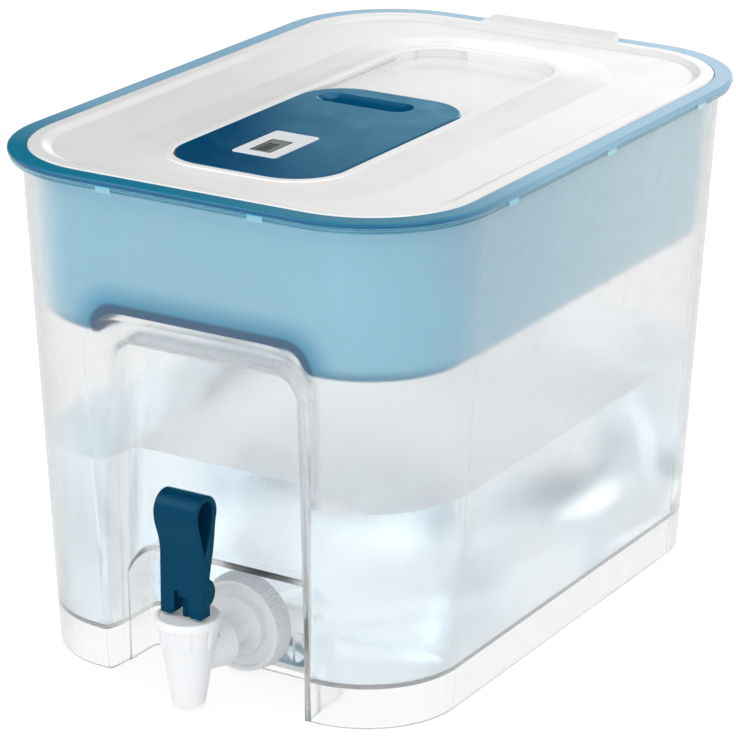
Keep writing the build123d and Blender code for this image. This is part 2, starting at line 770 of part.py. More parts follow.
# ---------------------------------------------------------------- tap
def make_tap_body():
    """Spout body with side boss, shank and water way."""
    body = bottom_rounded(cone_z(spout_radius, body_radius, spout_bottom, body_top, tap_y), spout_edge)
    body += rod_z(neck_radius, body_top, neck_top, tap_y)
    boss = cone_y(boss_root_radius, boss_radius, tap_y + boss_start, boss_end, shank_z)
    boss = fillet(boss.edges().sort_by(Axis.Y)[-1], boss_edge)
    body += boss - rod_z(bonnet_rim_radius + hole_gap, body_top, bonnet_top, tap_y)
    body += rod_y(shank_radius, boss_end - past, recess_back + shank_inside, shank_z)
    body -= rod_z(chamber_radius, seat_z + seat_cone, neck_top + past, tap_y)
    body -= cone_z(outlet_radius, chamber_radius, seat_z, seat_z + seat_cone, tap_y)
    body -= rod_z(outlet_radius, spout_bottom - past, seat_z, tap_y)
    body -= cone_z(spout_radius - spout_lip, outlet_radius, spout_bottom, spout_bottom + spout_flare,
                   tap_y)
    return body - rod_y(shank_bore, tap_y, recess_back + shank_inside + past, shank_z)


def make_bonnet():
    """Fluted collar that closes the body and guides the stem."""
    rim_low = bonnet_top - bonnet_rim_height
    skirt_top_radius = bonnet_rim_radius - bonnet_rim_step
    skirt = cone_z(bonnet_bottom_radius, skirt_top_radius, body_top, rim_low, tap_y)
    flute_lean = atan((skirt_top_radius - bonnet_bottom_radius) / (rim_low - body_top))
    reach = (bonnet_bottom_radius + skirt_top_radius) / 2 + bonnet_flute_radius - bonnet_flute_depth
    flute = Rot(0, degrees(flute_lean), 0) * Cylinder(bonnet_flute_radius, 2 * below)
    for index in range(bonnet_flutes):
        turn = Rot(0, 0, 360 * (index + 0.5) / bonnet_flutes)
        skirt -= Pos(0, tap_y, (body_top + rim_low) / 2) * turn * Pos(reach, 0, 0) * flute
    rim = top_rounded(rod_z(bonnet_rim_radius, rim_low, bonnet_top, tap_y), bonnet_rim_edge)
    dish_radius = bonnet_rim_radius - bonnet_rim_edge - bonnet_dish
    dish = cone_z(dish_radius - bonnet_dish, dish_radius, bonnet_top - bonnet_dish, bonnet_top, tap_y)
    bonnet = skirt + rim - dish
    bonnet -= rod_z(neck_radius + thread_gap, body_top - past, neck_top, tap_y)
    return bonnet - rod_z(stem_radius + stem_gap, neck_top - past, bonnet_top + past, tap_y)


def cross_rod(radius, length):
    """Round rod along the lever's pin axis."""
    return Pos(0, tap_y, pin_z) * Rot(0, 90, 0) * Cylinder(radius, length)


def make_stem():
    """Stem with a flat head for the lever's pin, and a collar and plug for the seat cup."""
    head_low = pin_z - stem_head_height / 2
    head = block(-stem_head_width / 2, stem_head_width / 2, tap_y - stem_head_depth / 2,
                 tap_y + stem_head_depth / 2, head_low, head_low + stem_head_height)
    head = fillet(head.edges().filter_by(Axis.X), stem_head_rounding)
    stem = head + rod_z(stem_radius, seat_cup_top - stem_plug_depth, head_low + past, tap_y)
    stem += rod_z(stem_radius + stem_collar_width, seat_cup_top, seat_cup_top + stem_collar_height, tap_y)
    return stem - cross_rod(pin_radius + pin_gap, 2 * stem_head_width)


def make_seat_cup():
    """Silicone cup that shuts the outlet."""
    low = seat_z + seat_cup_lift
    hollow_high = seat_cup_top - stem_plug_depth - seat_cup_wall
    cup = cone_z(seat_cup_radius, seat_cup_radius - seat_cup_taper, low, seat_cup_top, tap_y)
    cup -= cone_z(seat_cup_radius - seat_cup_wall, seat_cup_radius - seat_cup_wall - seat_cup_taper / 2,
                  low, hollow_high, tap_y)
    return cup - rod_z(stem_radius, seat_cup_top - stem_plug_depth, seat_cup_top + past, tap_y)


def make_spring():
    """Return spring that presses the stem down from under the bonnet."""
    low = seat_cup_top + stem_collar_height + spring_gap + spring_wire
    height = neck_top - spring_gap - spring_wire - low
    path = Pos(0, tap_y, low) * Helix(height / spring_turns, height, spring_radius)
    return sweep(Plane(origin=path @ 0, z_dir=path % 0) * Circle(spring_wire), path)


def lever_outline():
    """Side outline of the lever, across Y and up Z from the pin axis."""
    front_top = (lever_front, lever_plate_top)
    loop_front = (lever_loop_y - lever_loop_radius, lever_loop_height)
    loop_top = (lever_loop_y, lever_loop_height + lever_loop_radius)
    loop_rear = (lever_loop_y + lever_loop_radius - lever_loop_tuck, lever_loop_height - lever_loop_drop)
    neck = (lever_rear, lever_neck)
    foot_rear = (lever_rear, lever_bottom)
    foot_front_corner = (lever_front, lever_bottom)
    return make_face([
        Line(foot_front_corner, front_top),
        Spline(front_top, (lever_front - lever_bulge, lever_plate_top + lever_bulge_rise), loop_front,
               tangents=[(0, 1), (0, 1)]),
        ThreePointArc(loop_front, loop_top, loop_rear),
        Spline(loop_rear, (lever_waist_y, lever_waist_height), neck, tangents=[(-0.15, -1), (-0.2, -1)]),
        Line(neck, foot_rear),
        Line(foot_rear, foot_front_corner)])


def lever_hole_outline():
    """Side outline of the lever's teardrop finger hole."""
    radius = lever_loop_radius - lever_loop_wall
    front = (lever_loop_y - radius, lever_loop_height)
    top = (lever_loop_y, lever_loop_height + radius)
    rear = (lever_loop_y + radius - lever_hole_tuck, lever_loop_height - lever_hole_drop)
    waist = lever_loop_height - lever_hole_waist
    tip = (lever_loop_y + lever_hole_tip, lever_hole_bottom)
    return make_face([
        ThreePointArc(front, top, rear),
        Spline(rear, (lever_loop_y + lever_hole_rear, waist), tip, tangents=[(-0.1, -1), (-0.5, -1)]),
        Spline(tip, (lever_loop_y + lever_hole_front, waist), front, tangents=[(-0.3, 1), (0, 1)])])


def side_edges(solid, half_width):
    """Edges of a bar along X that lie in its two end faces."""
    return [edge for edge in solid.edges() if abs(abs(edge.center().X) - half_width) < 0.001]


def lever_slot():
    """Slot between the feet, with room for the stem's head behind the front plate."""
    low = pin_z - big
    slot = block(-lever_slot_half, lever_slot_half, tap_y - big, tap_y + big, low, pin_z + lever_slot_top)
    head_space = block(-lever_slot_half, lever_slot_half, tap_y - stem_head_depth / 2 - head_clearance,
                       tap_y + big, low, pin_z + stem_head_height / 2 + head_clearance)
    side = sqrt(2) * (lever_slot_half + foot_chamfer)
    bevel = Pos(0, tap_y, pin_z + lever_bottom) * Rot(0, 45, 0) * Box(side, big, side)
    return slot + head_space + bevel


def make_lever():
    """Blue loop lever with a finger hole, two feet astride the stem and a round heel."""
    side = Plane(origin=(-lever_width / 2, tap_y, pin_z), x_dir=(0, 1, 0), z_dir=(1, 0, 0))
    lever = extrude(side * (lever_outline() - lever_hole_outline()), lever_width)
    lever = fillet(side_edges(lever, lever_width / 2), lever_edge)
    heel = cross_rod(lever_cam_radius, lever_width - 2 * heel_inset)
    heel = chamfer(side_edges(heel, lever_width / 2 - heel_inset), heel_inset)
    lever += heel & block(-big, big, tap_y, tap_y + big, -big, big)
    return lever - lever_slot() - cross_rod(pin_radius, pin_length)


def star(radius):
    """Outline of a ring of shallow ribs."""
    points = []
    for index in range(2 * nut_ribs):
        angle = radians(180 * index / nut_ribs)
        reach = radius if index % 2 == 0 else radius - nut_rib_depth
        points.append((reach * cos(angle), reach * sin(angle)))
    return make_face(Polyline(*points, close=True).edges())


def make_flange_nut():
    """Large ribbed nut that clamps the tap against the tank from outside."""
    rear = recess_back - washer_thickness
    hub_front = nut_front - nut_hub_rise
    plane = upright_plane(nut_front).shift_origin((0, nut_front, shank_z))
    nut = loft([plane * star(nut_front_radius), plane.offset(rear - nut_front) * star(nut_rear_radius)],
               ruled=True)
    nut -= rod_y(nut_front_radius - nut_rim, nut_front - past, nut_front + nut_dish, shank_z)
    nut += front_rounded(rod_y(nut_hub_radius, hub_front, rear, shank_z), nut_hub_edge)
    return nut - rod_y(shank_radius + thread_gap, hub_front - past, rear + past, shank_z)


def washer(radius, y_low):
    """Flat ring on the shank."""
    ring = rod_y(radius, y_low, y_low + washer_thickness, shank_z)
    return ring - rod_y(shank_radius + thread_gap, y_low - past, y_low + washer_thickness + past, shank_z)


def make_lock_nut():
    """Hexagonal nut on the shank inside the tank."""
    low = recess_back + tank_wall + washer_thickness
    plane = upright_plane(low).shift_origin((0, low, shank_z))
    nut = extrude(plane * RegularPolygon(lock_nut_width / 2, 6, major_radius=False), lock_nut_thickness)
    return nut - rod_y(shank_radius + thread_gap, low - past, low + lock_nut_thickness + past, shank_z)


def make_tap():
    """All pieces of the tap."""
    return {"tap_body": make_tap_body(), "tap_bonnet": make_bonnet(), "tap_stem": make_stem(),
            "seat_cup": make_seat_cup(), "tap_spring": make_spring(), "tap_lever": make_lever(),
            "lever_pin": cross_rod(pin_radius, pin_length), "flange_nut": make_flange_nut(),
            "lock_nut": make_lock_nut(),
            "outer_washer": washer(washer_radius, recess_back - washer_thickness),
            "inner_washer": washer(inner_washer_radius, recess_back + tank_wall)}


def main():
    """Builds every sub-part and writes it."""
    os.makedirs("parts", exist_ok=True)
    pieces = {"tank": make_tank(), "funnel": make_funnel(), "lid": make_lid(),
              "slide_cover": make_slide_cover()}
    pieces.update(make_display())
    pieces.update(make_cartridge())
    pieces.update(make_tap())
    for name, solid in pieces.items():
        save(name, solid)


if __name__ == "__main__":
    main()
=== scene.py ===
import json
from math import cos, pi, radians, sin

import bmesh
import bpy
from mathutils import Matrix, Vector


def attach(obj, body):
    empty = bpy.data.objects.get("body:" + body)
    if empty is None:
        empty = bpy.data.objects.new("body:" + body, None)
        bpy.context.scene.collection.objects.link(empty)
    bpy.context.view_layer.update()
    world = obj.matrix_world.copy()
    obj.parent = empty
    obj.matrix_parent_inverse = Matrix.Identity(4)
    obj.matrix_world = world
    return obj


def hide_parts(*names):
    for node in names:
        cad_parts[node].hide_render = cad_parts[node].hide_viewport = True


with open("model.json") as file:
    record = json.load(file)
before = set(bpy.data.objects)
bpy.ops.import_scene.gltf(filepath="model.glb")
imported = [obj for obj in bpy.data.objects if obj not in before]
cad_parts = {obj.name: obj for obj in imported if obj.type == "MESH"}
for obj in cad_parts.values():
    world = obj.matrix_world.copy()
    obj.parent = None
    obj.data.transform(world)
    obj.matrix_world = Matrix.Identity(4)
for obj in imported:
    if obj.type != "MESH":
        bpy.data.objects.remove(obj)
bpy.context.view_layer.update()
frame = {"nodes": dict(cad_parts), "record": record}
nodes = frame["nodes"]

# ------------------------------------------------------------------ sizes, in metres
MM = 0.001
PLASTIC_IOR, WATER_IOR = 1.49, 1.333
WATER_LEVEL = 0.112          # water surface above the table
WATER_BOTTOM = 0.001         # lower end of the block that the water is cut from, under the tank's floor
WATER_GAP = 0.00012          # water to the tank's inner walls
WATER_WELD = 0.00002         # corners of the water closer than this are joined
TANK_FOOT = (0.1105, 0.164)  # half width and half length of the tank's foot
TANK_LEAN = 0.0524           # how far the walls lean out per metre of height
TANK_WALL = 0.0026
TANK_Y = 0.00565             # middle of the tank
SUMP_FLOOR = 0.0052
HOLE_PLACE = (0, -0.1135, 0.026)  # middle of the shank's hole in the tank wall
HOLE_PLUG = (0.0105, 0.014)  # radius and length of the plug that keeps water out of that hole
LIP_TOP = 0.2556             # where the funnel's flange rests
LIP_GAP = 0.00004            # keeps two clear surfaces from coinciding there
LIP_PAINTED_BAND = (0.2530, 0.2556)  # heights of the band painted blue on the tank's clear lip, for the blue flange that shows in it
FLOOR_DROP = 0.00003         # floor below the object's lowest face
FLOOR_HALF = 6
# funnel: bands where its colour changes, mostly painted light and shade, each from where it starts to where it
# ends
FOOT_PAINTED_SHADE = (0.178, 0.183)         # heights above its lower edge, where the painted darker foot ends
FUNNEL_RIM = (0.2552, 0.2556)        # heights of the flange's lower side
# painted highlight and shade bands on the flange, by height
RIM_PAINTED_HIGHLIGHT_TO_SHADE = (0.2559, 0.2563)
RIM_PAINTED_SHADE_TO_TOP = (0.2580, 0.2585)
PAINTED_SHADE_FRONT_TO_BACK = (-0.15, -0.05)       # along Y, where the painted darker front fades out
# where the funnel's sides are painted lighter, along Y and along X
PAINTED_LIGHT_SIDE_BY_Y = (-0.13, 0.08)
PAINTED_LIGHT_SIDE_BY_X = (-0.122, -0.075)
FRONT_WALL = (-0.14, -0.13)
STEP_HALF, STEP_TOP, STEP_CORNER = 0.0575, 0.1882, 0.01  # lower edge of the funnel over the niche
# painted shade along that edge: a dark line and a deep blue band around it
STEP_PAINTED_DARK_LINE = (0.0045, 0.0058)         # distances from that edge, for the painted dark line
STEP_PAINTED_SHADE_BAND = (0.0045, 0.017)
# display: low and high ends along X and along Y
DISPLAY_FIELD = ((-0.0107, -0.0005), (-0.0990, -0.0793))
DISPLAY_BARS = ((-0.0094, -0.0030), (-0.0975, -0.0845))
BAR_PITCH, BAR_WIDTH = 0.0033, 0.0025

# ------------------------------------------------------------------ studio, camera
# what mirrored rays see behind the object, in radians: heading left of +Y, and height above level. Each border
# is given from where it starts to where it ends.
DARK_RIGHT, DARK_LEFT, DARK_TOP = (-0.2, 0.2), (1.3, 1.7), (0.9, 1.3)
SCREEN_LEFT, SCREEN_TOP = (0.560, 0.576), (0.275, 0.295)
BRIGHT_SIDE = (0.45, 0.56)
DARK_LEVEL = 0.02            # strength of the dark part
BRIGHT_LEVELS = (2.1, 1.0)   # strength right and left of BRIGHT_SIDE
THROUGH_LEVEL = 1.1          # strength for rays that pass through clear pieces
AMBIENT_LEVEL = 0.72         # strength as a light
LAMPS = (                    # name, place, aim, size, watts, and whether it is mirrored
    ("key", (-1.4, -1.6, 1.9), (0, 0, 0.13), (1.6, 1.6), 11.5, True),
    ("fill", (1.9, -0.9, 1.2), (0, 0, 0.13), (1.4, 1.8), 11, True),
    ("front", (0.3, -2.4, 0.7), (0, 0, 0.1), (1.6, 1.0), 14, False),
    ("top", (0.1, 0.6, 2.2), (0, 0, 0.2), (1.8, 1.8), 7, True),
)
# camera fitted to the photograph: distances in metres, focal length in pixels of a 736 px frame
AZIMUTH, ELEVATION, ROLL = radians(30.991), radians(19.655), radians(0.374)
DISTANCE, FOCAL_PX, FRAME_PX = 1.8158, 3581.6, 736
AIM = (0.004214, -0.014323, 0.125898)
SENSOR_MM = 36


# ------------------------------------------------------------------ node helpers
def new_tree(data):
    """Empty node tree of a material or world."""
    data.use_nodes = True
    data.node_tree.nodes.clear()
    return data.node_tree


def new_material(name):
    """Material with an empty node tree and an output."""
    mat = bpy.data.materials.new(name)
    tree = new_tree(mat)
    return mat, tree, tree.nodes.new("ShaderNodeOutputMaterial")


def put(tree, socket, value):
    """Links a socket to another one, or sets its value."""
    if isinstance(value, bpy.types.NodeSocket):
        tree.links.new(value, socket)
    else:
        socket.default_value = value


def node(tree, kind, links=None, **settings):
    """Node with its properties, and its sockets set or linked."""
    made = tree.nodes.new("ShaderNode" + kind)
    for key, value in settings.items():
        setattr(made, key, value)
    for key, value in (links or {}).items():
        put(tree, made.inputs[key], value)
    return made


def maths(tree, operation, a, b=0.0):
    """Result of a math node."""
    return node(tree, "Math", {0: a, 1: b}, operation=operation).outputs[0]


def product(tree, *values):
    """Product of several values."""
    made = values[0]
    for value in values[1:]:
        made = maths(tree, "MULTIPLY", made, value)
    return made


def most(tree, *values):
    """Largest of several values."""
    made = values[0]
    for value in values[1:]:
        made = maths(tree, "MAXIMUM", made, value)
    return made


def ranged(tree, value, low, high, start=0.3, end=0.7):
    """Value mapped from start and end to low and high, with no overshoot. Noise mostly lies in 0.3 to 0.7."""
    return node(tree, "MapRange", {"Value": value, "From Min": start, "From Max": end,
                                   "To Min": low, "To Max": high}).outputs["Result"]


def rising(tree, value, span):
    """Ramp from 0 at the start of a span to 1 at its end."""
    return ranged(tree, value, 0.0, 1.0, *span)


def falling(tree, value, span):
    """Ramp from 1 at the start of a span to 0 at its end."""
    return ranged(tree, value, 1.0, 0.0, *span)


def between(tree, value, span):
    """1 inside a span and 0 outside."""
    return product(tree, maths(tree, "GREATER_THAN", value, span[0]), maths(tree, "LESS_THAN", value, span[1]))


def inside(tree, x, y, spans):
    """1 inside a rectangle and 0 outside."""
    return product(tree, between(tree, x, spans[0]), between(tree, y, spans[1]))


def mixed(tree, factor, a, b):
    """Colour mixed by a factor."""
    mix = tree.nodes.new("ShaderNodeMix")
    mix.data_type = "RGBA"
    for index, value in ((0, factor), (6, a), (7, b)):
        put(tree, mix.inputs[index], value)
    return mix.outputs[2]


def mixed_value(tree, factor, a, b):
    """Value mixed by a factor."""
    return node(tree, "Mix", {0: factor, 2: a, 3: b}).outputs[0]


def mixed_shader(tree, factor, a, b):
    """Two shaders mixed by a factor."""
    return node(tree, "MixShader", {0: factor, 1: a.outputs[0], 2: b.outputs[0]})


def piece_axes(tree):
    """X, Y and Z in the piece's own coordinates."""
    place = node(tree, "TexCoord").outputs["Object"]
    return node(tree, "SeparateXYZ", {"Vector": place}).outputs


def piece_noise(tree, scale, detail=3.0):
    """Noise in the piece's own coordinates, with scale in waves per metre."""
    place = node(tree, "TexCoord").outputs["Object"]
    return node(tree, "TexNoise", {"Vector": place, "Scale": scale, "Detail": detail}).outputs["Fac"]


def rgba(colour):
    """Colour with full alpha."""
    return (*colour, 1.0)


def grey(value):
    """Grey with full alpha."""
    return rgba((value, value, value))


def srgb(r, g, b):
    """Linear colour, with full alpha, from 8-bit display values."""
    def linear(v):
        v = v / 255
        return v / 12.92 if v <= 0.04045 else ((v + 0.055) / 1.055) ** 2.4
    return rgba((linear(r), linear(g), linear(b)))


# ------------------------------------------------------------------ materials
def moulded(name, colour, shade, roughness, grain=1800.0, bump_strength=0.06, gloss=None):
    """Opaque moulded plastic: slow colour drift, fine surface texture, uneven gloss, which may have a tint
    of its own."""
    mat, tree, out = new_material(name)
    drift = piece_noise(tree, 14.0, 2.0)
    fine = piece_noise(tree, grain, 2.0)
    handled = piece_noise(tree, 60.0, 4.0)
    base = mixed(tree, ranged(tree, drift, 0.0, 1.0), colour, shade)
    rough = ranged(tree, handled, roughness - 0.04, roughness + 0.05)
    normal = node(tree, "Bump", {"Height": fine, "Strength": bump_strength, "Distance": 0.0001}).outputs["Normal"]
    shader = node(tree, "BsdfPrincipled", {"Base Color": base, "Roughness": rough, "Normal": normal,
                                           "Specular IOR Level": 0.0 if gloss else 0.5})
    if gloss:
        mirror = node(tree, "BsdfGlossy", {"Color": rgba(gloss), "Roughness": rough, "Normal": normal})
        share = node(tree, "Fresnel", {"IOR": 1.6, "Normal": normal}).outputs[0]
        shader = mixed_shader(tree, share, shader, mirror)
    tree.links.new(shader.outputs[0], out.inputs["Surface"])
    return mat


def close_clear(tree, out, shader, passing, tint=None, density=0.0):
    """Surface that lets lamps shine through it in a colour, and a tint that deepens with thickness."""
    lamp_ray = node(tree, "LightPath").outputs["Is Shadow Ray"]
    through = node(tree, "BsdfTransparent", {"Color": rgba(passing)})
    both = mixed_shader(tree, lamp_ray, shader, through)
    tree.links.new(both.outputs[0], out.inputs["Surface"])
    if tint:
        volume = node(tree, "VolumeAbsorption", {"Color": rgba(tint), "Density": density})
        tree.links.new(volume.outputs[0], out.inputs["Volume"])


def clear_plastic(name, colour, roughness, ior=PLASTIC_IOR, tint=None, density=0.0, painted_lip_blue=None):
    """Clear plastic or water: refracting walls with a slightly uneven haze, and a painted blue band on the lip,
    which stands in for the blue flange showing in the clear plastic.
    """
    mat, tree, out = new_material(name)
    haze = piece_noise(tree, 120.0)
    base = rgba(colour)
    if painted_lip_blue:
        # painted light: the clear lip takes a blue band for the flange that shows in it
        z = piece_axes(tree)["Z"]
        low, high = LIP_PAINTED_BAND
        soft = 0.4 * MM
        band = product(tree, rising(tree, z, (low - soft, low)), falling(tree, z, (high, high + soft)))
        base = mixed(tree, band, base, rgba(painted_lip_blue))
    shader = node(tree, "BsdfPrincipled", {
        "Base Color": base, "Roughness": ranged(tree, haze, roughness * 0.9, roughness * 1.1),
        "IOR": ior, "Transmission Weight": 1.0})
    close_clear(tree, out, shader, (0.96, 0.97, 0.97), tint, density)
    return mat


def display_glass():
    """Dark liquid-crystal window with a pale field and plain level bars."""
    mat, tree, out = new_material("display_glass")
    x, y, _ = piece_axes(tree)
    cloud = ranged(tree, piece_noise(tree, 90.0, 2.0), 0.0, 1.0)
    along = maths(tree, "MODULO", maths(tree, "ADD", y, -DISPLAY_BARS[1][0]), BAR_PITCH)
    bar = product(tree, inside(tree, x, y, DISPLAY_BARS), maths(tree, "LESS_THAN", along, BAR_WIDTH))
    colour = mixed(tree, cloud, srgb(30, 38, 38), srgb(38, 46, 46))
    colour = mixed(tree, inside(tree, x, y, DISPLAY_FIELD), colour, srgb(112, 122, 116))
    colour = mixed(tree, bar, colour, srgb(28, 36, 36))
    shader = node(tree, "BsdfPrincipled", {"Base Color": colour, "Roughness": ranged(tree, cloud, 0.1, 0.16),
                                           "Specular IOR Level": 0.2})
    tree.links.new(shader.outputs[0], out.inputs["Surface"])
    return mat


def step_distance(tree, x, z):
    """Distance outwards from the outline of the step over the niche, in the lower edge of the funnel."""
    across = maths(tree, "SUBTRACT", maths(tree, "ABSOLUTE", x), STEP_HALF - STEP_CORNER)
    above = maths(tree, "SUBTRACT", z, STEP_TOP - STEP_CORNER)
    squares = [maths(tree, "POWER", maths(tree, "MAXIMUM", value, 0.0), 2.0) for value in (across, above)]
    corner = maths(tree, "SQRT", maths(tree, "ADD", *squares))
    inner = maths(tree, "MINIMUM", most(tree, across, above), 0.0)
    return maths(tree, "SUBTRACT", maths(tree, "ADD", corner, inner), STEP_CORNER)


def funnel_plastic():
    """Blue plastic of the funnel: half milky and half clear, with light and shade painted into its colour:
    lighter sides, a darker foot at the front, deep blue painted where light runs along an edge with a painted
    dark line, and painted highlight and shade bands on the flange.
    """
    mat, tree, out = new_material("funnel_blue")
    x, y, z = piece_axes(tree)
    drift = ranged(tree, piece_noise(tree, 9.0, 2.0), 0.0, 1.0)
    rough = ranged(tree, piece_noise(tree, 120.0), 0.2, 0.24)

    # shares of the places that differ, most of them painted light and shade
    # painted shade: darker at the front, fading out towards the back
    front = falling(tree, y, PAINTED_SHADE_FRONT_TO_BACK)
    # painted light: the sides lighter
    painted_light_side = most(tree, ranged(tree, y, 0.0, 0.8, *PAINTED_LIGHT_SIDE_BY_Y), falling(tree, x, PAINTED_LIGHT_SIDE_BY_X))
    # painted shade: darker blue along the foot at the front
    painted_shade_foot = product(tree, falling(tree, z, FOOT_PAINTED_SHADE), front)
    front_wall = falling(tree, y, FRONT_WALL)
    distance = step_distance(tree, x, z)
    # painted shade along the step over the niche: a deep blue band and a dark line at its edge
    painted_shade_band = product(tree, falling(tree, distance, STEP_PAINTED_SHADE_BAND), front_wall)
    painted_dark_line = product(tree, falling(tree, distance, STEP_PAINTED_DARK_LINE), front_wall)
    rim = rising(tree, z, FUNNEL_RIM)

    # their colours, painted light and shade laid over the milky blue
    # painted highlight and shade on the flange: a light line at its lower edge, dark bands above it, lighter
    # towards the back
    rim_painted_light = mixed(tree, rising(tree, z, RIM_PAINTED_HIGHLIGHT_TO_SHADE), rgba((0.12, 0.57, 0.76)),
                       rgba((0.0, 0.12, 0.27)))
    rim_painted_light = mixed(tree, rising(tree, z, RIM_PAINTED_SHADE_TO_TOP), rim_painted_light, rgba((0.0, 0.22, 0.35)))
    rim_painted_light = mixed(tree, front, rgba((0.30, 0.55, 0.72)), rim_painted_light)
    milk_and_painted_light = mixed(tree, drift, rgba((0.55, 0.86, 0.97)), rgba((0.58, 0.87, 0.97)))
    for share, colour in ((painted_light_side, rgba((0.75, 0.96, 1.0))), (painted_shade_foot, rgba((0.20, 0.52, 0.66))),
                          (painted_shade_band, rgba((0.04, 0.51, 0.76))), (painted_dark_line, rgba((0.003, 0.13, 0.27))),
                          (rim, rim_painted_light)):
        milk_and_painted_light = mixed(tree, share, milk_and_painted_light, colour)

    clear = node(tree, "BsdfPrincipled", {"Base Color": rgba((0.97, 0.985, 0.99)), "Roughness": rough,
                                          "IOR": PLASTIC_IOR, "Transmission Weight": 1.0})
    cloudy = node(tree, "BsdfPrincipled", {"Base Color": milk_and_painted_light, "Roughness": rough, "IOR": PLASTIC_IOR})
    lit_through = node(tree, "BsdfTranslucent", {"Color": milk_and_painted_light})
    cloudy = mixed_shader(tree, ranged(tree, most(tree, rim, painted_light_side), 0.5, 0.1, 0.0, 1.0), cloudy, lit_through)
    dense = most(tree, rim, painted_dark_line, product(tree, painted_light_side, 0.5))
    both = mixed_shader(tree, ranged(tree, dense, 0.6, 0.88, 0.0, 1.0), clear, cloudy)
    close_clear(tree, out, both, (0.82, 0.90, 0.94), (0.06, 0.70, 0.87), 80.0)
    return mat


# roughness stays on one side of about 0.27 within a material, because Cycles samples gloss in another way there
MATERIALS = {
    "white_plastic": moulded("lid_white", srgb(237, 237, 237), srgb(234, 234, 234), 0.21),
    "dark_blue_plastic": moulded("cover_blue", srgb(0, 69, 109), srgb(0, 73, 114), 0.13, bump_strength=0.03,
                                 gloss=(0.40, 0.84, 1.0)),
    "display_white": moulded("display_white", srgb(226, 229, 232), srgb(220, 223, 226), 0.4),
    "cartridge_white": moulded("cartridge_white", srgb(225, 230, 236), srgb(216, 222, 229), 0.45),
    "tap_white": moulded("tap_white", srgb(242, 243, 245), srgb(236, 238, 240), 0.36),
    "silicone": moulded("silicone", srgb(214, 218, 220), srgb(205, 209, 212), 0.6),
    "lever_blue": moulded("lever_blue", srgb(0, 52, 80), srgb(0, 57, 87), 0.21, bump_strength=0.05,
                          gloss=(0.12, 0.34, 0.46)),
    "circuit_board": moulded("circuit_board", srgb(20, 92, 52), srgb(14, 78, 44), 0.45),
    "filter_bed": moulded("filter_bed", srgb(62, 58, 54), srgb(150, 130, 96), 0.8, grain=700,
                          bump_strength=0.9),
    "screen_mesh": moulded("screen_mesh", srgb(206, 212, 218), srgb(188, 194, 202), 0.7, grain=2600,
                           bump_strength=0.5),
    "cell_steel": moulded("cell_steel", srgb(190, 190, 190), srgb(170, 170, 172), 0.33),
    "spring_steel": moulded("spring_steel", srgb(176, 176, 178), srgb(160, 160, 164), 0.33),
    "display_glass": display_glass(),
    # the tank's lip gets a painted blue, for the blue flange showing in it
    "clear_plastic": clear_plastic("tank_clear", (0.998, 1.0, 1.0), 0.2, painted_lip_blue=(0.50, 0.82, 0.90)),
    "blue_clear_plastic": funnel_plastic(),
    "water": clear_plastic("water", (1, 1, 1), 0.1, ior=WATER_IOR, tint=(0.6, 0.86, 1.0), density=1.0),
}

slots = {row["node"]: row["material_slot"] for row in frame["record"]["subparts"]}
for name, obj in nodes.items():
    obj.data.materials.clear()
    obj.data.materials.append(MATERIALS[slots[name]])


# ------------------------------------------------------------------ mesh helpers
def link(obj):
    """Puts an object into the scene."""
    bpy.context.scene.collection.objects.link(obj)
    return obj


def mesh_object(name, build):
    """Object made by mesh code."""
    bm = bmesh.new()
    build(bm)
    mesh = bpy.data.meshes.new(name)
    bm.to_mesh(mesh)
    bm.free()
    return link(bpy.data.objects.new(name, mesh))


def welded_copy(source, name):
    """Copy of a CAD node's mesh with shared corners joined."""
    def weld(bm):
        bm.from_mesh(source.data)
        bmesh.ops.remove_doubles(bm, verts=bm.verts, dist=0.001 * MM)
    return mesh_object(name, weld)


def apply_modifiers(obj):
    """Gives an object its final mesh, with its modifiers applied."""
    graph = bpy.context.evaluated_depsgraph_get()
    mesh = bpy.data.meshes.new_from_object(obj.evaluated_get(graph))
    obj.modifiers.clear()
    old = obj.data
    obj.data = mesh
    bpy.data.meshes.remove(old)


def cut(obj, tool):
    """Takes a tool away from an object, and removes the tool."""
    modifier = obj.modifiers.new("cut", "BOOLEAN")
    modifier.operation = "DIFFERENCE"
    modifier.solver = "EXACT"
    modifier.object = tool
    apply_modifiers(obj)
    bpy.data.objects.remove(tool)


def loose_parts(bm):
    """Groups of vertices that hang together."""
    seen, groups = set(), []
    for start in bm.verts:
        if start in seen:
            continue
        group, todo = [], [start]
        seen.add(start)
        while todo:
            vertex = todo.pop()
            group.append(vertex)
            for edge in vertex.link_edges:
                other = edge.other_vert(vertex)
                if other not in seen:
                    seen.add(other)
                    todo.append(other)
        groups.append(group)
    return groups


